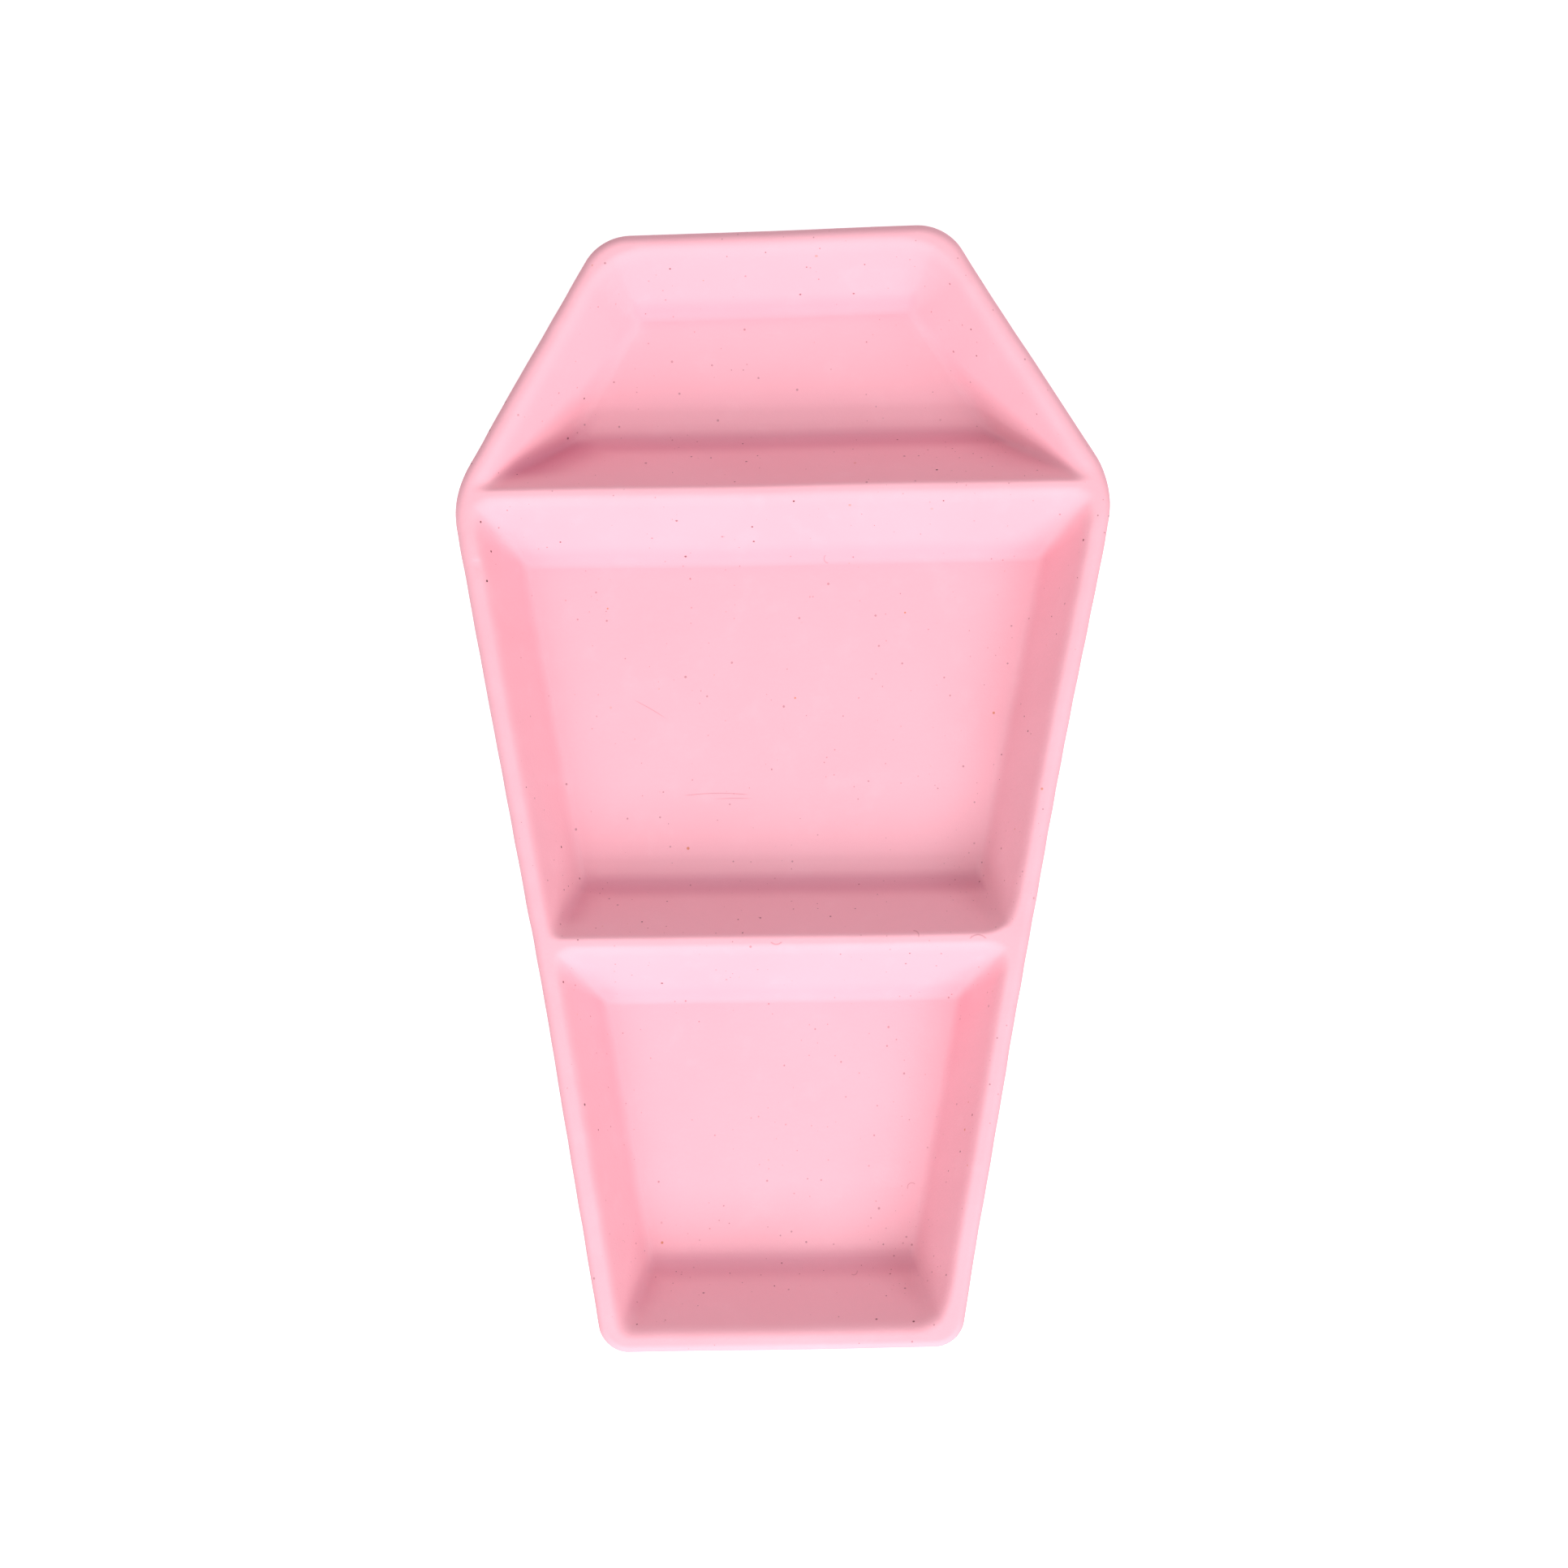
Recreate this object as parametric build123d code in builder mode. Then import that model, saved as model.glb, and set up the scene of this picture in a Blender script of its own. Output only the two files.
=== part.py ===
"""A flexible silicone casting mould, coffin-shaped in plan, with three open cavities.

The mould is one thin-walled moulding: three flat-bottomed pods that hang from one full-round rim.
Neighbouring pods share a divider, folded like a tent and open underneath, whose crest is at rim height.
The moulding bends at those two crests. Each pod's floor, its outer walls and its leaf of a divider are
written as separate pieces that meet face to face.
Millimetres, +Z up, +Y towards the head end. The origin is under the centre, on the resting plane.
"""

import os
from math import atan2, sin, tan

from build123d import *

# Plan of the rim's outer edge, between sharp corners
LENGTH = 250.0
HEAD_WIDTH = 77.2
SHOULDER_WIDTH = 149.0
FOOT_WIDTH = 79.4
UPPER_DIVIDER_Y = 66.0
LOWER_DIVIDER_Y = -34.8

# Section through any wall
DEPTH = 17.5
FLOOR = 4.0
HEIGHT = DEPTH + FLOOR
WALL = 5.0

# Each kind of wall: from its plan line to the edge of the cavity's mouth, and on to the wall's foot.
# A divider's crest is a little off its plan line: its mouth edge is nearer the line on the head side.
MOUTH = {
    "head end": 4.3,
    "shoulder": 4.4,
    "side": 4.3,
    "foot end": 4.5,
    "divider, head side": 1.2,
    "upper divider, foot side": 1.8,
    "lower divider, foot side": 1.8,
}
RUN = {
    "head end": 11.6,
    "shoulder": 10.8,
    "side": 8.6,
    "foot end": 14.0,
    "divider, head side": 12.4,
    "upper divider, foot side": 11.8,
    "lower divider, foot side": 10.0,
}

# Corner radii in plan
HEAD_CORNER = 12.0
SHOULDER_CORNER = 21.0
FOOT_CORNER = 7.0
POD_CORNER = 4.0
CAVITY_CORNER = 3.0
FLOOR_CORNER = 2.6

# Edge radii
RIM_EDGE = 2.2
MOUTH_EDGE = 2.4
FOOT_EDGE = 2.0
BASE_EDGE = 2.5
CREST_UNDERSIDE = 1.5
CREST_OFFSET = 1.0

# Where the pieces meet: the floor plates stop this far inside the walls' feet
FLOOR_LAP = 1.5
TILE_MARGIN = 8.0


def straight(start, end):
    """A plan line with the moulding on its right, as a point and its inward unit normal."""
    run = (Vector(*end) - Vector(*start)).normalized()
    return Vector(*start), Vector(run.Y, -run.X)


def inset(line, distance):
    """The line moved inward by a distance."""
    point, normal = line
    return point + normal * distance, normal


def meet(first, second):
    """Where two plan lines cross."""
    (p, n), (q, m) = first, second
    along_n, along_m = n.dot(p), m.dot(q)
    cross = n.X * m.Y - n.Y * m.X
    return ((along_n * m.Y - along_m * n.Y) / cross, (along_m * n.X - along_n * m.X) / cross)


HEAD_LEFT, HEAD_RIGHT = (-HEAD_WIDTH / 2, LENGTH / 2), (HEAD_WIDTH / 2, LENGTH / 2)
LEFT_SHOULDER = (-SHOULDER_WIDTH / 2, UPPER_DIVIDER_Y)
RIGHT_SHOULDER = (SHOULDER_WIDTH / 2, UPPER_DIVIDER_Y)
FOOT_LEFT, FOOT_RIGHT = (-FOOT_WIDTH / 2, -LENGTH / 2), (FOOT_WIDTH / 2, -LENGTH / 2)

head_end = straight(HEAD_LEFT, HEAD_RIGHT)
right_shoulder = straight(HEAD_RIGHT, RIGHT_SHOULDER)
right_side = straight(RIGHT_SHOULDER, FOOT_RIGHT)
foot_end = straight(FOOT_RIGHT, FOOT_LEFT)
left_side = straight(FOOT_LEFT, LEFT_SHOULDER)
left_shoulder = straight(LEFT_SHOULDER, HEAD_LEFT)


def divider(y, cavity_is_above):
    """The middle line of a divider, facing the cavity above or below it."""
    return Vector(0, y), Vector(0, 1 if cavity_is_above else -1)


# Each pod's four walls, clockwise from the head side: piece name, plan line, kind of wall
PODS = {
    "head": [
        ("head_end_wall", head_end, "head end"),
        ("head_right_wall", right_shoulder, "shoulder"),
        ("upper_divider_head_leaf", divider(UPPER_DIVIDER_Y, True), "divider, head side"),
        ("head_left_wall", left_shoulder, "shoulder"),
    ],
    "middle": [
        ("upper_divider_middle_leaf", divider(UPPER_DIVIDER_Y, False), "upper divider, foot side"),
        ("middle_right_wall", right_side, "side"),
        ("lower_divider_middle_leaf", divider(LOWER_DIVIDER_Y, True), "divider, head side"),
        ("middle_left_wall", left_side, "side"),
    ],
    "foot": [
        ("lower_divider_foot_leaf", divider(LOWER_DIVIDER_Y, False), "lower divider, foot side"),
        ("foot_right_wall", right_side, "side"),
        ("foot_end_wall", foot_end, "foot end"),
        ("foot_left_wall", left_side, "side"),
    ],
}


def slope(kind):
    """A wall's angle above the horizontal."""
    return atan2(DEPTH, RUN[kind])


def inner_inset(kind, z):
    """From the plan line to the inner face at height z."""
    return MOUTH[kind] + (HEIGHT - z) / tan(slope(kind))


def outer_inset(kind, z):
    """From the plan line to the outer face at height z."""
    return inner_inset(kind, z) - WALL / sin(slope(kind))


def corners(walls, distances):
    """The four corners of a pod's plan, with each wall's line moved inward by its own distance."""
    moved = [inset(line, distance) for (name, line, kind), distance in zip(walls, distances)]
    return [meet(moved[i - 1], moved[i]) for i in range(len(moved))]


def rounded(points, radii, z):
    """A filled polygon at height z, with its own radius at each corner."""
    with BuildSketch(Plane.XY.offset(z)) as plan:
        with BuildLine():
            FilletPolyline(*points, radius=radii, close=True)
        make_face()
    return plan.sketch


def section(walls, inset_at, z, radius):
    """A pod's plan at height z, on its inner or its outer faces."""
    distances = [inset_at(kind, z) for name, line, kind in walls]
    return rounded(corners(walls, distances), [radius] * 4, z)


def rim_outline():
    """The plan of the rim's outer edge."""
    points = [HEAD_LEFT, HEAD_RIGHT, RIGHT_SHOULDER, FOOT_RIGHT, FOOT_LEFT, LEFT_SHOULDER]
    radii = [HEAD_CORNER, HEAD_CORNER, SHOULDER_CORNER, FOOT_CORNER, FOOT_CORNER, SHOULDER_CORNER]
    return rounded(points, radii, 0)


def edges_at(height):
    """The moulding's edges that lie in one horizontal plane."""
    return moulding.edges().filter_by_position(Axis.Z, height - 0.01, height + 0.01)


def edges_of_the_rim(pick_wires):
    """Edges of the flat face on top of the rim, from the wires picked on it."""
    top = moulding.faces().sort_by(Axis.Z)[-1]
    return ShapeList(edge for wire in pick_wires(top) for edge in wire.edges())


def crest_undersides():
    """The two edges under the dividers, where the outer faces of neighbouring pods meet."""
    under_rim = moulding.edges().filter_by_position(Axis.Z, FLOOR, HEIGHT - WALL)
    return ShapeList(
        edge
        for edge in under_rim
        for y in (UPPER_DIVIDER_Y, LOWER_DIVIDER_Y)
        if abs(edge.center().Y - y) < CREST_OFFSET
    )


with BuildPart() as moulding:
    # Pods with flared sides, trimmed to the rim's outline
    for walls in PODS.values():
        loft([section(walls, outer_inset, z, POD_CORNER) for z in (0, HEIGHT)], ruled=True)
    extrude(rim_outline(), amount=HEIGHT, mode=Mode.INTERSECT)

    # Cavities
    for walls in PODS.values():
        foot = section(walls, inner_inset, FLOOR, FLOOR_CORNER)
        mouth = section(walls, inner_inset, HEIGHT, CAVITY_CORNER)
        loft([foot, mouth], ruled=True, mode=Mode.SUBTRACT)

    # Every edge is softened: the rim and the divider crests come out full round
    fillet(edges_at(FLOOR), FOOT_EDGE)
    fillet(edges_of_the_rim(lambda top: [top.outer_wire()]), RIM_EDGE)
    fillet(edges_of_the_rim(lambda top: top.inner_wires()), MOUTH_EDGE)
    fillet(edges_at(0), BASE_EDGE)
    fillet(crest_undersides(), CREST_UNDERSIDE)


def tile(points):
    """An upright prism over a plan polygon, taller than the moulding."""
    with BuildPart() as prism:
        with BuildSketch(Plane.XY.offset(-1)):
            with BuildLine():
                Polyline(*points, close=True)
            make_face()
        extrude(amount=HEIGHT + 2)
    return prism.part


def export_piece(label, points):
    """Write the piece of the moulding that stands over a plan polygon."""
    with BuildPart() as piece:
        add(moulding.part)
        add(tile(points), mode=Mode.INTERSECT)
    piece.part.label = label
    export_step(piece.part, f"parts/{label}.step")


os.makedirs("parts", exist_ok=True)

for pod, walls in PODS.items():
    floor_plan = corners(walls, [inner_inset(kind, FLOOR) + FLOOR_LAP for name, line, kind in walls])
    export_piece(f"{pod}_floor", floor_plan)
    for i, (name, line, kind) in enumerate(walls):
        start, end = floor_plan[i], floor_plan[(i + 1) % len(walls)]
        if kind in ("shoulder", "side"):
            # A straight length of wall, cut off square beside the floor's corners
            reach = SHOULDER_WIDTH if start[0] > 0 else -SHOULDER_WIDTH
            export_piece(name, [start, end, (reach, end[1]), (reach, start[1])])
        else:
            # The full width of the pod, corners included, from the floor out to the pod's limit
            limit = line[0].Y if "divider" in kind else line[0].Y - line[1].Y * TILE_MARGIN
            reach = SHOULDER_WIDTH
            export_piece(name, [(-reach, limit), (reach, limit), (reach, start[1]), (-reach, start[1])])
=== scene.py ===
import math

import bpy
import numpy as np
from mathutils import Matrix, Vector


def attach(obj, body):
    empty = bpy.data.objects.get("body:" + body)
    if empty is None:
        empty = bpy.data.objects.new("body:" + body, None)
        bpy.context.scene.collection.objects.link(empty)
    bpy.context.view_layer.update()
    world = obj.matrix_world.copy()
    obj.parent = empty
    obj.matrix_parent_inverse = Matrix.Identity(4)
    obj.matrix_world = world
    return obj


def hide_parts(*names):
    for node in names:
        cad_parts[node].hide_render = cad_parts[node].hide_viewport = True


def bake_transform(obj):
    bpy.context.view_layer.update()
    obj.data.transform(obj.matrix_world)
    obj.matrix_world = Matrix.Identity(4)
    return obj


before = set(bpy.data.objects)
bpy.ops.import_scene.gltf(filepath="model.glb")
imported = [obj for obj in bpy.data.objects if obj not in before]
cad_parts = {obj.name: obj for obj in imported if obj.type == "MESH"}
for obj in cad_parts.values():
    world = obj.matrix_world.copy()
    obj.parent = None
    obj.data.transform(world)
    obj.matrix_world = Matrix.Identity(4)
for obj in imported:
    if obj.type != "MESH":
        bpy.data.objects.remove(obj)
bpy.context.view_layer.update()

# ---------------------------------------------------------------------------------------------
# The mould's dimensions in millimetres, as in the CAD model
# ---------------------------------------------------------------------------------------------
LENGTH = 250.0
HEAD_WIDTH = 77.2
SHOULDER_WIDTH = 149.0
FOOT_WIDTH = 79.4
UPPER_Y = 66.0
LOWER_Y = -34.8
DEPTH = 17.5
FLOOR = 4.0
HEIGHT = DEPTH + FLOOR
CREST_UNDERSIDE = 14.4
RIM_UNDERSIDE = 18.4
WALL = 5.0
THINNEST = 0.3
FLOOR_LAP = 1.5
# Radius of the rim's outer edge: at the head, at the lower divider and at the foot
EDGE = 2.6
LOWER_EDGE = 2.2
FOOT_EDGE = 1.5

# Widths over which neighbouring faces are blended into one another
FLOOR_BLEND = 2.8
CORNER_BLEND = 2.5
CREST_BLEND = 1.2
RIM_BLEND = 0.6
OUTER_CORNER_BLEND = 7.0
BASE_BLEND = 3.0

# Each kind of wall: from its plan line to the cavity's mouth, on to the wall's foot, and how far the
# mouth's edge is rounded off
MOUTH = {"head end": 4.3, "shoulder": 4.4, "side": 4.3, "foot end": 4.5,
         "divider, head side": 1.2, "upper divider, foot side": 1.8, "lower divider, foot side": 1.8}
RUN = {"head end": 11.6, "shoulder": 10.8, "side": 8.6, "foot end": 14.0,
       "divider, head side": 12.4, "upper divider, foot side": 11.8, "lower divider, foot side": 10.0}
ROUNDING = {"head end": 2.6, "shoulder": 2.6, "side": 2.6, "foot end": 2.2,
            "divider, head side": 1.0, "upper divider, foot side": 2.4, "lower divider, foot side": 2.4}


def unit(v):
    """A plan vector at length 1."""
    return v / np.hypot(*v)


def line(start, end):
    """A plan line with the mould on its right: a point and the inward unit normal."""
    start, end = np.array(start, float), np.array(end, float)
    run = unit(end - start)
    return start, np.array([run[1], -run[0]])


def meet(first, second):
    """Where two plan lines cross."""
    (p, n), (q, m) = first, second
    return np.linalg.solve(np.array([n, m]), np.array([n @ p, m @ q]))


OUTLINE = [
    (-HEAD_WIDTH / 2, LENGTH / 2), (HEAD_WIDTH / 2, LENGTH / 2), (SHOULDER_WIDTH / 2, UPPER_Y),
    (FOOT_WIDTH / 2, -LENGTH / 2), (-FOOT_WIDTH / 2, -LENGTH / 2), (-SHOULDER_WIDTH / 2, UPPER_Y),
]
OUTLINE_RADII = [12.0, 12.0, 21.0, 7.0, 7.0, 21.0]
edge_lines = [line(OUTLINE[i], OUTLINE[(i + 1) % 6]) for i in range(6)]
head_end, right_shoulder, right_side, foot_end, left_side, left_shoulder = edge_lines


def divider(y, above):
    """The middle line of a divider, facing the cavity above or below it."""
    return np.array([0.0, y]), np.array([0.0, 1.0 if above else -1.0])


PODS = {
    "head": [(head_end, "head end"), (right_shoulder, "shoulder"),
             (divider(UPPER_Y, True), "divider, head side"), (left_shoulder, "shoulder")],
    "middle": [(divider(UPPER_Y, False), "upper divider, foot side"), (right_side, "side"),
               (divider(LOWER_Y, True), "divider, head side"), (left_side, "side")],
    "foot": [(divider(LOWER_Y, False), "lower divider, foot side"), (right_side, "side"),
             (foot_end, "foot end"), (left_side, "side")],
}


def slope(kind):
    """A wall's angle above the horizontal."""
    return math.atan2(DEPTH, RUN[kind])


def inward(at_line, x, y):
    """How far a plan point lies on the mould's side of a line."""
    p, n = at_line
    return (x - p[0]) * n[0] + (y - p[1]) * n[1]


def corner_centre(i):
    """The centre of the outline's rounding at one of its corners."""
    radius = OUTLINE_RADII[i]
    (p, n), (q, m) = edge_lines[i - 1], edge_lines[i]
    return meet((p + n * radius, n), (q + m * radius, m))


def outline_distance(x, y):
    """How far a plan point lies inside the rim's rounded outline."""
    distance = np.min([inward(edge, x, y) for edge in edge_lines], axis=0)
    for i, radius in enumerate(OUTLINE_RADII):
        centre = corner_centre(i)
        dx, dy = x - centre[0], y - centre[1]
        in_corner = True
        for neighbour in (OUTLINE[i - 1], OUTLINE[(i + 1) % 6]):
            along = unit(np.array(OUTLINE[i]) - np.array(neighbour))
            in_corner = in_corner & (dx * along[0] + dy * along[1] > 0)
        distance = np.where(in_corner, radius - np.hypot(dx, dy), distance)
    return distance


def smooth_max(a, b, k):
    """The larger of two values, rounded off where they are within k of each other."""
    return np.maximum(a, b) + np.maximum(k - np.abs(a - b), 0) ** 2 / (4 * k)


def smooth_min(a, b, k):
    """The smaller of two values, rounded off in the same way."""
    return -smooth_max(-a, -b, k)


def smooth_step(low, high, v):
    """A smooth rise from 0 at low to 1 at high."""
    t = np.clip((v - low) / (high - low), 0, 1)
    return t * t * (3 - 2 * t)


# How much rounder each cavity's upright corners are at the rim than at the floor: upper right, lower
# right, lower left, upper left
CORNER_OPENING = {
    "head": (11.0, 3.0, 2.5, 11.0),
    "middle": (9.0, 11.0, 3.0, 9.0),
    "foot": (9.0, 11.0, 4.0, 9.0),
}


def pod_domains(y):
    """Which plan points belong to each pod."""
    return {"head": y >= UPPER_Y, "middle": (y < UPPER_Y) & (y >= LOWER_Y), "foot": y < LOWER_Y}


def wall_face(at_line, kind, x, y):
    """The height of a wall's inner face, carried on as a plane, over a plan point."""
    return HEIGHT - (inward(at_line, x, y) - MOUTH[kind]) * math.tan(slope(kind))


def surface_heights(x, y):
    """The mould's upper and lower surfaces over a plan point."""
    distance = np.maximum(outline_distance(x, y), 0)
    # The rim's outer edge is rounder at the head than at the foot
    edge = np.interp(y, [-LENGTH / 2, LOWER_Y, LENGTH / 2], [FOOT_EDGE, LOWER_EDGE, EDGE])
    bead = HEIGHT - edge + np.sqrt(np.maximum(edge ** 2 - np.maximum(edge - distance, 0) ** 2, 0))
    top = np.zeros_like(x)
    bottom = np.zeros_like(x)
    domains = pod_domains(y)
    for pod, walls in PODS.items():
        faces, outer = [], None
        weights, rounding = 0, 0
        for at_line, kind in walls:
            face = wall_face(at_line, kind, x, y)
            back = face - WALL / math.cos(slope(kind))
            if "divider" in kind:
                back = smooth_min(back, CREST_UNDERSIDE, CREST_BLEND)
            else:
                back = smooth_min(back, RIM_UNDERSIDE, RIM_BLEND)
            # The mouth's rounding is that of the wall whose face is highest there
            weight = np.exp(np.clip(face - HEIGHT, -30, 6) / 1.5)
            weights = weights + weight
            rounding = rounding + weight * ROUNDING[kind]
            faces.append(face)
            outer = back if outer is None else smooth_max(outer, back, OUTER_CORNER_BLEND)
        # The upright corners open out from the floor to the rim
        upper_right, lower_right, lower_left, upper_left = CORNER_OPENING[pod]
        left = upper_left + (lower_left - upper_left) * smooth_step(-3, 3, faces[2] - faces[0])
        inner = faces[0]
        for face, opening in zip(faces[1:], (upper_right, lower_right, left)):
            level = np.clip((np.maximum(inner, face) - FLOOR) / DEPTH, 0, 1)
            inner = smooth_max(inner, face, CORNER_BLEND + opening * level)
        inner = smooth_max(inner, np.full_like(x, FLOOR), FLOOR_BLEND)
        outer = smooth_max(outer, np.zeros_like(x), BASE_BLEND)
        inner = smooth_min(inner, bead, rounding / weights)
        top = np.where(domains[pod], inner, top)
        bottom = np.where(domains[pod], outer, bottom)
    return top, np.minimum(bottom, top - THINNEST)


# Shade painted into the skin at the feet of the walls and in the upright corners, where the cavities are
# shaded: how much, by kind of wall
FOOT_PAINTED_SHADE = {"head end": 0.3, "shoulder": 0.06, "side": 0.06, "foot end": 0.5, "divider, head side": 0.62,
              "upper divider, foot side": 0.22, "lower divider, foot side": 0.15}
LEFT_CORNER_PAINTED_SHADE = {"head": 1.0, "middle": 0.5, "foot": 0.4}
RIGHT_CORNER_PAINTED_SHADE = {"head": 0.3, "middle": 0.06, "foot": 0.06}
# How far a corner's painted shade goes up the wall that faces the head, and up the wall beside it
CORNER_REACH = {"head": 26.0, "middle": 16.0, "foot": 14.0}
CORNER_SPREAD = {"head": 9.5, "middle": 5.0, "foot": 5.0}


def painted_shade_over(x, y):
    """How much shade is painted on the skin over a plan point, from 0 to 1."""
    painted_shade = np.zeros_like(x)
    domains = pod_domains(y)
    for pod, walls in PODS.items():
        faces = [wall_face(at_line, kind, x, y) for at_line, kind in walls]
        highest = np.max(faces, axis=0)
        at_foot = 1 - smooth_step(0.8, 5.6, np.abs(highest - FLOOR))
        here = np.zeros_like(x)
        for (at_line, kind), face in zip(walls, faces):
            nearest = np.clip(1 - (highest - face) / 3.0, 0, 1)
            here = np.maximum(here, FOOT_PAINTED_SHADE[kind] * at_foot * nearest)
        # The painted shade in the corners beside the walls that face the head
        for beside, share in ((1, RIGHT_CORNER_PAINTED_SHADE[pod]), (3, LEFT_CORNER_PAINTED_SHADE[pod])):
            gap = faces[2] - faces[beside]
            level = (np.maximum(faces[2], faces[beside]) - FLOOR) / DEPTH
            beside_corner = smooth_step(-CORNER_SPREAD[pod], 0.5, gap)
            in_corner = beside_corner * (1 - smooth_step(0.5, CORNER_REACH[pod], gap))
            up_the_wall = smooth_step(-0.3, 0.05, level) * (1 - smooth_step(0.55, 0.92, level))
            here = np.maximum(here, share * in_corner * up_the_wall)
        painted_shade = np.where(domains[pod], here, painted_shade)
    return np.clip(painted_shade, 0, 1)


# ---------------------------------------------------------------------------------------------
# One structured grid over the plan, denser at the rim, the crests and the feet of the walls
# ---------------------------------------------------------------------------------------------
def floor_corners(pod):
    """The right-hand corners of a pod's floor plate, head side first."""
    moved = [(p + n * (MOUTH[kind] + RUN[kind] + FLOOR_LAP), n) for (p, n), kind in PODS[pod]]
    return meet(moved[0], moved[1]), meet(moved[1], moved[2])


def spread(start, end, step):
    """Evenly spaced values from start up to, but not including, end."""
    count = max(1, round(abs(end - start) / step))
    return list(start + (end - start) * np.arange(count) / count)


def edge_steps(count):
    """Distances in from the outline, closer together where the rim's edge is steep."""
    return [EDGE * (1 - math.cos(math.pi / 2 * i / count)) for i in range(count)]


FLOOR_ROW = 1.6
FLOOR_COLUMNS = 34
END_TAPER = 1.5

corner = {pod: floor_corners(pod) for pod in PODS}
CUTS = [LENGTH / 2, corner["head"][0][1], corner["head"][1][1], UPPER_Y, corner["middle"][0][1],
        corner["middle"][1][1], LOWER_Y, corner["foot"][0][1], corner["foot"][1][1], -LENGTH / 2]


def end_rows(limit, floor_y):
    """Rows from an end of the mould to the floor plate beside it, closer at the rim and the wall's foot."""
    toward = math.copysign(1, floor_y - limit)
    rows = [limit + toward * s for s in edge_steps(10)]
    reach = abs(floor_y - limit)
    for a, b, step in ((EDGE, 7.6, 0.4), (7.6, reach - 5.4, 0.8), (reach - 5.4, reach, 0.4)):
        rows += [limit + toward * s for s in spread(a, b, step)]
    return rows


def leaf_rows(crest, floor_y):
    """Rows from a divider's crest to the floor plate, closer at the crest and the wall's foot."""
    toward = math.copysign(1, floor_y - crest)
    reach = abs(floor_y - crest)
    rows = []
    for a, b, step in ((0, 4.6, 0.3), (4.6, reach - 5.2, 0.7), (reach - 5.2, reach, 0.4)):
        rows += [crest + toward * s for s in spread(a, b, step)]
    return rows


def backwards(walk, start, end):
    """The rows of a walk that goes from end to start, in the order from start to end, without end."""
    return list(reversed(walk(end, start)[1:] + [start]))


rows, cut_index = [], []
for i, (start, end) in enumerate(zip(CUTS[:-1], CUTS[1:])):
    cut_index.append(len(rows))
    if i == 0:
        rows += end_rows(start, end)
    elif i in (3, 6):
        rows += leaf_rows(start, end)
    elif i in (2, 5):
        rows += backwards(leaf_rows, start, end)
    elif i == 8:
        rows += backwards(end_rows, start, end)
    else:
        rows += spread(start, end, FLOOR_ROW)
cut_index.append(len(rows))
rows.append(CUTS[-1])
rows = np.array(rows)

# The plate's side edge in every row, and the outline's half width
keys = [corner[pod][k] for pod in ("foot", "middle", "head") for k in (1, 0)]
key_y = [-LENGTH / 2, *[key[1] for key in keys], LENGTH / 2]
key_x = [keys[0][0] - END_TAPER, *[key[0] for key in keys], keys[-1][0] - END_TAPER]
plate_x = np.interp(rows, key_y, key_x)
low, high = np.zeros_like(rows), np.full_like(rows, SHOULDER_WIDTH)
for _ in range(50):
    middle = (low + high) / 2
    inside = outline_distance(middle, rows) > 0
    low, high = np.where(inside, middle, low), np.where(inside, high, middle)
half_width = low
# The first and the last row run along the straight ends, from one rounded corner to the other
half_width[0] = corner_centre(1)[0]
half_width[-1] = corner_centre(3)[0]

side_reach = MOUTH["side"] + RUN["side"] + FLOOR_LAP
side = edge_steps(9) + spread(EDGE, 7.4, 0.4) + spread(7.4, 9.4, 0.7) + spread(9.4, side_reach, 0.4)
side = np.array(side) / side_reach
centre_steps = np.array(spread(0, 1, 1 / FLOOR_COLUMNS)[1:])
columns = len(side)
grid_x = []
for width, plate in zip(half_width, plate_x):
    right = width - side * (width - plate)
    inner = plate * (1 - 2 * np.concatenate([[0], centre_steps, [1]]))
    grid_x.append(np.concatenate([-right, -inner, right[::-1]]))
grid_x = np.array(grid_x)
grid_y = np.repeat(rows[:, None], grid_x.shape[1], axis=1)
PLATE_LEFT = columns
PLATE_RIGHT = grid_x.shape[1] - 1 - columns

top, bottom = surface_heights(grid_x, grid_y)
# Shade painted on the upper skin at the walls' feet and in the corners
upper_painted_shade = painted_shade_over(grid_x, grid_y)


# ---------------------------------------------------------------------------------------------
# The irregular shape of a soft, hand-released moulding
# ---------------------------------------------------------------------------------------------
def ripple(x, y, seed, size):
    """A smooth, repeatable unevenness between about -1 and 1."""
    total = np.zeros_like(x)
    rng = np.random.default_rng(seed)
    for _ in range(7):
        angle = rng.uniform(0, math.tau)
        wave = size * rng.uniform(0.6, 1.7)
        phase = rng.uniform(0, math.tau)
        total += np.sin((x * math.cos(angle) + y * math.sin(angle)) * math.tau / wave + phase)
    return total / 3.2


def soften(x, y, z):
    """Bow, skew and unevenness, the same for both surfaces."""
    t = np.clip((UPPER_Y - y) / (UPPER_Y + LENGTH / 2), 0, 1)
    toward_head = smooth_step(70, LENGTH / 2, y)
    width = np.interp(-y, -rows, half_width)
    bow = 0.6 * np.sin(math.pi * t) / width
    fuller = -0.004 + 0.013 * smooth_step(UPPER_Y, LENGTH / 2, y) - 0.006 * smooth_step(0, 1, t)
    right_shoulder_bulge = 0.6 * np.exp(-((y - 48) / 26) ** 2) * smooth_step(10, 70, x)
    nx = x * (1 - bow + fuller) - 1.8 * toward_head + 0.0065 * y + right_shoulder_bulge
    nx = nx + 0.16 * ripple(x, y, 3, 55) + 0.05 * ripple(x, y, 5, 14)
    lean = np.interp(y, [-LENGTH / 2, LOWER_Y, UPPER_Y, LENGTH / 2], [0.0115, 0.006, 0.0095, 0.0275])
    ny = y + x * lean + 0.14 * ripple(x, y, 7, 60)
    nz = z + (z / HEIGHT) * (0.14 * ripple(x, y, 11, 48) + 0.045 * ripple(x, y, 13, 12))
    return nx, ny, nz


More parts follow.
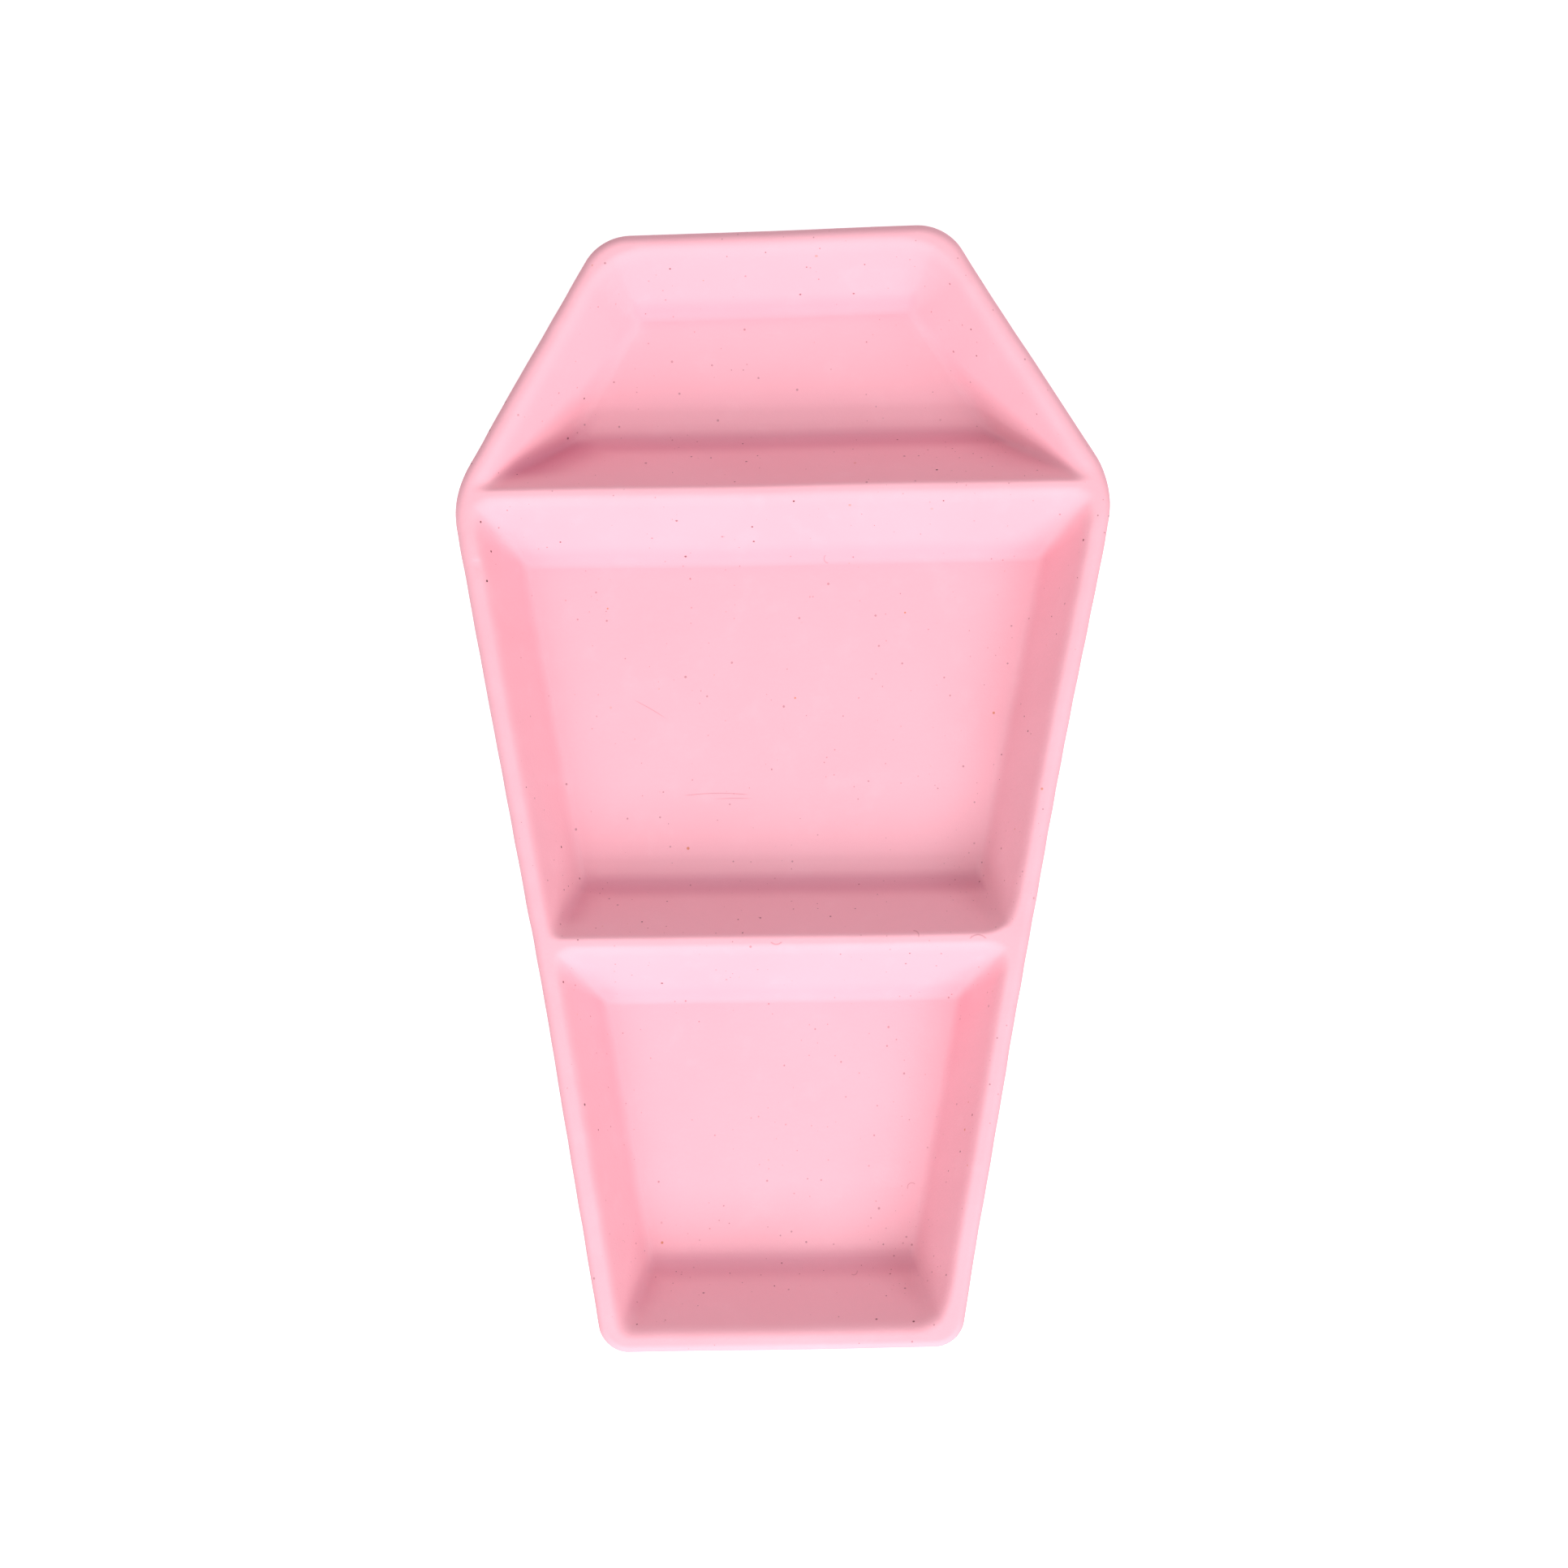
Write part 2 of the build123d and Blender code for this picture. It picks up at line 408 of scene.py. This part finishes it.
def nick(x, y, z):
    """A small bite out of the rim."""
    gone = np.exp(-(((x + 68.6) / 0.8) ** 2 + ((y - 50.2) / 0.9) ** 2))
    return z - 0.5 * gone * (z > 17)


shape = grid_x.shape
top_x, top_y, top_z = soften(grid_x, grid_y, nick(grid_x, grid_y, top))
low_x, low_y, low_z = soften(grid_x, grid_y, bottom)
upper = np.stack([top_x, top_y, top_z], -1).reshape(-1, 3)
lower = np.stack([low_x, low_y, low_z], -1).reshape(-1, 3)
points = np.concatenate([upper, lower]) / 1000
rest = np.concatenate([np.stack([grid_x, grid_y, top], -1).reshape(-1, 3),
                       np.stack([grid_x, grid_y, bottom], -1).reshape(-1, 3)]) / 1000
# Shade is painted on the upper skin only
PAINTED_SHADE = np.concatenate([upper_painted_shade.ravel(), np.zeros(upper_painted_shade.size)])
n_rows, n_cols = shape
LOWER_START = n_rows * n_cols


def at(i, j):
    """The number of an upper vertex, from its row and column."""
    return i * n_cols + j


def shell_faces(i0, i1, j0, j1):
    """The upper and lower faces of one rectangle of the grid, and the upright faces round it."""
    skin = []
    for i in range(i0, i1):
        for j in range(j0, j1):
            a, b, c, d = at(i, j), at(i + 1, j), at(i + 1, j + 1), at(i, j + 1)
            skin.append((a, b, c, d))
            skin.append(tuple(LOWER_START + v for v in (d, c, b, a)))
    ring = [at(i, j0) for i in range(i0, i1)] + [at(i1, j) for j in range(j0, j1)]
    ring += [at(i, j1) for i in range(i1, i0, -1)] + [at(i0, j) for j in range(j1, j0, -1)]
    upright = []
    for a, b in zip(ring, ring[1:] + ring[:1]):
        upright.append((b, a, LOWER_START + a, LOWER_START + b))
    return skin, upright


def on_outline(vertex):
    """Whether a vertex lies on the mould's outer edge."""
    i, j = divmod(vertex % LOWER_START, n_cols)
    return i in (0, n_rows - 1) or j in (0, n_cols - 1)


def make_mesh(name, faces):
    """A smooth mesh of some faces of the whole skin, and the numbers of the vertices that it uses."""
    used = sorted({v for face in faces for v in face})
    renumber = {v: k for k, v in enumerate(used)}
    mesh = bpy.data.meshes.new(name)
    mesh.from_pydata(points[used].tolist(), [], [[renumber[v] for v in face] for face in faces])
    mesh.polygons.foreach_set("use_smooth", [True] * len(mesh.polygons))
    return mesh, used


# The whole skin in one mesh gives every piece its normals, so that no seam shows
skin, upright = shell_faces(0, n_rows - 1, 0, n_cols - 1)
whole, used = make_mesh("whole", skin + upright)
normals = np.zeros((len(whole.vertices), 3), np.float32)
whole.vertex_normals.foreach_get("vector", normals.ravel())
NORMAL = np.zeros((len(points), 3))
NORMAL[used] = normals
bpy.data.meshes.remove(whole)


def make_piece(name, i0, i1, j0, j1):
    """One closed piece of the skin, with flat caps where it was cut from its neighbours."""
    skin, upright = shell_faces(i0, i1, j0, j1)
    outer = [f for f in upright if all(on_outline(v) for v in f)]
    caps = [f for f in upright if not all(on_outline(v) for v in f)]
    faces = skin + outer + caps
    mesh, used = make_mesh(name + "_skin", faces)
    split = []
    for k, face in enumerate(faces):
        if k < len(skin) + len(outer):
            split.extend(NORMAL[v] for v in face)
        else:
            split.extend([tuple(mesh.polygons[k].normal)] * len(face))
    mesh.normals_split_custom_set([tuple(v) for v in split])
    attribute = mesh.attributes.new("rest_place", "FLOAT_VECTOR", "POINT")
    attribute.data.foreach_set("vector", rest[used].astype(np.float32).ravel())
    # The painted shade at the walls' feet and in the corners, carried to the material
    attribute = mesh.attributes.new("painted_shade", "FLOAT", "POINT")
    attribute.data.foreach_set("value", PAINTED_SHADE[used].astype(np.float32))
    piece = bpy.data.objects.new(name + "_skin", mesh)
    bpy.context.scene.collection.objects.link(piece)
    piece.data.materials.append(silicone)
    return piece


# ---------------------------------------------------------------------------------------------
# Material: matte silicone with mottling, a fine skin, dust and a few rubbed marks, and shade painted at the
# walls' feet and in the corners
# ---------------------------------------------------------------------------------------------
# Lint, curled marks and scratches on the skin: centre in plan, radius, width, facing angle, half spread
MARKS = [
    (44.5, -36.4, 2.3, 0.22, 90, 52), (-1.1, -34.0, 1.6, 0.25, 270, 50), (29.8, -34.0, 1.1, 0.2, 40, 60),
    (10.7, 52.4, 0.9, 0.16, 200, 75), (29.9, -90.0, 1.0, 0.16, 120, 80), (16.4, -108.3, 0.8, 0.16, 300, 70),
    (-15.0, -60.4, 60.0, 0.14, 90, 7), (-11.0, -61.6, 60.0, 0.12, 90, 4), (-52.6, -20.0, 45.0, 0.14, 60, 5),
]
DUSTY_CORNERS = [(42.0, 78.0), (46.0, -18.0), (28.0, -104.0), (-29.0, -104.0)]

SKIN, PALER_SKIN = (0.860, 0.420, 0.495, 1), (0.870, 0.438, 0.515, 1)
RUBBED_SKIN = (0.88, 0.470, 0.545, 1)
# The colour of the shade painted at the walls' feet and in the corners
PAINTED_SHADE_COLOUR = (0.66, 0.245, 0.335, 1)
LINT = (0.42, 0.15, 0.18, 1)
SPECK = (0.10, 0.03, 0.035, 1)
DUST = (0.22, 0.05, 0.06, 1)
FINE_DUST = (0.32, 0.09, 0.10, 1)
WARM_SPECK = (0.62, 0.20, 0.09, 1)


def make_silicone():
    """The mould's one material, placed on the unbent shape so that it moves with the skin."""
    material = bpy.data.materials.new("pink_silicone")
    material.use_nodes = True
    nodes, links = material.node_tree.nodes, material.node_tree.links
    shader = nodes["Principled BSDF"]
    shader.inputs["Roughness"].default_value = 0.62
    shader.inputs["Specular IOR Level"].default_value = 0.25
    shader.inputs["IOR"].default_value = 1.41
    shader.inputs["Sheen Weight"].default_value = 0.06
    shader.inputs["Sheen Roughness"].default_value = 0.5
    place = nodes.new("ShaderNodeAttribute")
    place.attribute_name = "rest_place"
    # The painted shade at the walls' feet and in the corners, read from the mesh
    painted_shade = nodes.new("ShaderNodeAttribute")
    painted_shade.attribute_name = "painted_shade"

    def noise(scale, detail, roughness=0.5):
        node = nodes.new("ShaderNodeTexNoise")
        node.inputs["Scale"].default_value = scale
        node.inputs["Detail"].default_value = detail
        node.inputs["Roughness"].default_value = roughness
        links.new(place.outputs["Vector"], node.inputs["Vector"])
        return node.outputs["Fac"]

    def remap(value, a, b, c, d):
        node = nodes.new("ShaderNodeMapRange")
        for name, number in (("From Min", a), ("From Max", b), ("To Min", c), ("To Max", d)):
            node.inputs[name].default_value = number
        links.new(value, node.inputs["Value"])
        return node.outputs["Result"]

    def calculate(operation, a, b):
        node = nodes.new("ShaderNodeMath")
        node.operation = operation
        for socket, value in zip(node.inputs, (a, b)):
            if isinstance(value, (int, float)):
                socket.default_value = value
            else:
                links.new(value, socket)
        return node.outputs[0]

    def multiply(a, b):
        return calculate("MULTIPLY", a, b)

    def add(a, b):
        return calculate("ADD", a, b)

    def mix(amount, first, second):
        node = nodes.new("ShaderNodeMix")
        node.data_type = "RGBA"
        links.new(amount, node.inputs["Factor"])
        for socket, value in ((node.inputs["A"], first), (node.inputs["B"], second)):
            if isinstance(value, tuple):
                socket.default_value = value
            else:
                links.new(value, socket)
        return node.outputs["Result"]

    def vector_step(operation, a, b):
        node = nodes.new("ShaderNodeVectorMath")
        node.operation = operation
        links.new(a, node.inputs[0])
        if b is not None:
            node.inputs[1].default_value = b
        return node.outputs["Value" if operation in ("LENGTH", "DOT_PRODUCT") else "Vector"]

    plan = vector_step("MULTIPLY", place.outputs["Vector"], (1000, 1000, 0))

    def arc(x, y, radius, width, facing, spread_angle):
        """A thin curved line: the part of a circle about a plan point that lies in one direction from it."""
        from_centre = vector_step("SUBTRACT", plan, (x, y, 0))
        distance = vector_step("LENGTH", from_centre, None)
        rising = remap(distance, radius - width, radius, 0, 1)
        falling = remap(distance, radius, radius + width, 1, 0)
        ring = multiply(rising, falling)
        toward = (math.cos(math.radians(facing)), math.sin(math.radians(facing)), 0)
        edge = radius * math.cos(math.radians(spread_angle))
        return multiply(ring, remap(vector_step("DOT_PRODUCT", from_centre, toward), edge, edge + 0.1, 0, 1))

    def specks(scale, size, share, seed):
        """Small dots: a few of the cells of a Voronoi pattern, each with its own size."""
        shifted = vector_step("ADD", place.outputs["Vector"], (seed * 0.013, seed * 0.029, seed * 0.007))
        cells = nodes.new("ShaderNodeTexVoronoi")
        cells.inputs["Scale"].default_value = scale
        links.new(shifted, cells.inputs["Vector"])
        parts = nodes.new("ShaderNodeSeparateColor")
        links.new(cells.outputs["Color"], parts.inputs["Color"])
        # Specks are chosen more often where shade is painted, in the corners and at the walls' feet
        dirtier = add(parts.outputs["Red"], multiply(painted_shade.outputs["Fac"], 0.5))
        chosen = remap(dirtier, 1 - share - 0.001, 1 - share + 0.001, 0, 1)
        reach = remap(parts.outputs["Green"], 0, 1, size * 0.45, size)
        inside = calculate("LESS_THAN", cells.outputs["Distance"], reach)
        return multiply(multiply(inside, chosen), remap(parts.outputs["Blue"], 0, 1, 0.25, 1.0))

    mottle = remap(noise(38, 4), 0.3, 0.7, 0, 1)
    colour = mix(mottle, SKIN, PALER_SKIN)
    rubbed = remap(noise(150, 3, 0.6), 0.56, 0.75, 0, 0.35)
    colour = mix(rubbed, colour, RUBBED_SKIN)
    # Shade painted at the feet of the walls and in the upright corners
    colour = mix(painted_shade.outputs["Fac"], colour, PAINTED_SHADE_COLOUR)
    for mark in MARKS:
        colour = mix(multiply(arc(*mark), 0.55), colour, LINT)
    colour = mix(specks(290, 0.085, 0.9, 1), colour, SPECK)
    for x, y in DUSTY_CORNERS:
        away = vector_step("LENGTH", vector_step("SUBTRACT", plan, (x, y, 0)), None)
        gathered = multiply(specks(520, 0.13, 0.9, 5), remap(away, 3, 13, 1, 0))
        colour = mix(multiply(gathered, 0.9), colour, DUST)
    colour = mix(multiply(specks(520, 0.10, 0.30, 2), 0.7), colour, FINE_DUST)
    colour = mix(multiply(specks(160, 0.06, 0.35, 3), 0.8), colour, WARM_SPECK)
    links.new(colour, shader.inputs["Base Color"])

    skin = add(multiply(noise(1400, 3, 0.6), 0.5), multiply(noise(330, 3), 0.5))
    bump = nodes.new("ShaderNodeBump")
    bump.inputs["Strength"].default_value = 0.35
    bump.inputs["Distance"].default_value = 0.00022
    links.new(skin, bump.inputs["Height"])
    links.new(bump.outputs["Normal"], shader.inputs["Normal"])
    links.new(remap(noise(90, 3), 0.3, 0.7, 0.56, 0.68), shader.inputs["Roughness"])
    return material


silicone = make_silicone()

# ---------------------------------------------------------------------------------------------
# The pieces, one for each node of the CAD model
# ---------------------------------------------------------------------------------------------
last = n_cols - 1
RECTANGLES = {
    "head_end_wall": ("head", 0, 1, 0, last),
    "head_left_wall": ("head", 1, 2, 0, PLATE_LEFT),
    "head_floor": ("head", 1, 2, PLATE_LEFT, PLATE_RIGHT),
    "head_right_wall": ("head", 1, 2, PLATE_RIGHT, last),
    "upper_divider_head_leaf": ("head", 2, 3, 0, last),
    "upper_divider_middle_leaf": ("middle", 3, 4, 0, last),
    "middle_left_wall": ("middle", 4, 5, 0, PLATE_LEFT),
    "middle_floor": ("middle", 4, 5, PLATE_LEFT, PLATE_RIGHT),
    "middle_right_wall": ("middle", 4, 5, PLATE_RIGHT, last),
    "lower_divider_middle_leaf": ("middle", 5, 6, 0, last),
    "lower_divider_foot_leaf": ("foot", 6, 7, 0, last),
    "foot_left_wall": ("foot", 7, 8, 0, PLATE_LEFT),
    "foot_floor": ("foot", 7, 8, PLATE_LEFT, PLATE_RIGHT),
    "foot_right_wall": ("foot", 7, 8, PLATE_RIGHT, last),
    "foot_end_wall": ("foot", 8, 9, 0, last),
}
for node, (body, first, second, j0, j1) in RECTANGLES.items():
    piece = make_piece(node, cut_index[first], cut_index[second], j0, j1)
    if node.startswith("upper_divider"):
        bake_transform(piece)
    elif node.startswith("lower_divider"):
        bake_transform(piece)
    else:
        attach(piece, body)
    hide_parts(node)

# ---------------------------------------------------------------------------------------------
# Floor, light and camera
# ---------------------------------------------------------------------------------------------
paper = bpy.data.materials.new("white_paper")
paper.use_nodes = True
paper_shader = paper.node_tree.nodes["Principled BSDF"]
paper_shader.inputs["Base Color"].default_value = (0.94, 0.94, 0.94, 1)
paper_shader.inputs["Roughness"].default_value = 0.9
# A slight glow keeps the paper white, and it sends no bounced light onto the mould
paper_shader.inputs["Emission Color"].default_value = (1, 1, 1, 1)
paper_shader.inputs["Emission Strength"].default_value = 0.5
sheet = bpy.data.meshes.new("floor")
sheet.from_pydata([(-6, -6, 0), (6, -6, 0), (6, 6, 0), (-6, 6, 0)], [], [(0, 1, 2, 3)])
floor = bpy.data.objects.new("floor", sheet)
floor.data.materials.append(paper)
floor.visible_diffuse = False
bpy.context.scene.collection.objects.link(floor)

scene = bpy.context.scene
scene.view_settings.view_transform = "Standard"
scene.view_settings.look = "None"
world = bpy.data.worlds.new("studio")
scene.world = world
world.use_nodes = True
world.node_tree.nodes["Background"].inputs["Color"].default_value = (1, 1, 1, 1)
world.node_tree.nodes["Background"].inputs["Strength"].default_value = 0.63


def softbox(name, azimuth, elevation, distance, width, height, power):
    """A soft rectangular light aimed at the mould; azimuth 0 is the foot end, positive to the right."""
    lamp = bpy.data.lights.new(name, "AREA")
    lamp.shape = "RECTANGLE"
    lamp.size, lamp.size_y = width, height
    lamp.energy = power
    thing = bpy.data.objects.new(name, lamp)
    a, e = math.radians(azimuth), math.radians(elevation)
    spot = Vector((math.sin(a) * math.cos(e), -math.cos(a) * math.cos(e), math.sin(e))) * distance
    thing.location = spot
    thing.rotation_euler = (-spot).to_track_quat("-Z", "Y").to_euler()
    scene.collection.objects.link(thing)


softbox("window", 0, 35, 1.6, 1.8, 0.5, 20)
softbox("window_top", 0, 50, 1.6, 1.8, 0.5, 8.5)
softbox("side", 90, 40, 1.6, 1.8, 0.5, 5.4)

camera = bpy.data.objects.new("camera", bpy.data.cameras.new("camera"))
camera.data.sensor_width = 36
camera.data.lens = 110
camera.data.clip_start = 0.05
camera.location = (0.0, -0.08, 1.0840)
aim = Vector((0.00057, 0.00095, 0.01))
camera.rotation_euler = (aim - camera.location).to_track_quat("-Z", "Y").to_euler()
scene.collection.objects.link(camera)
scene.camera = camera
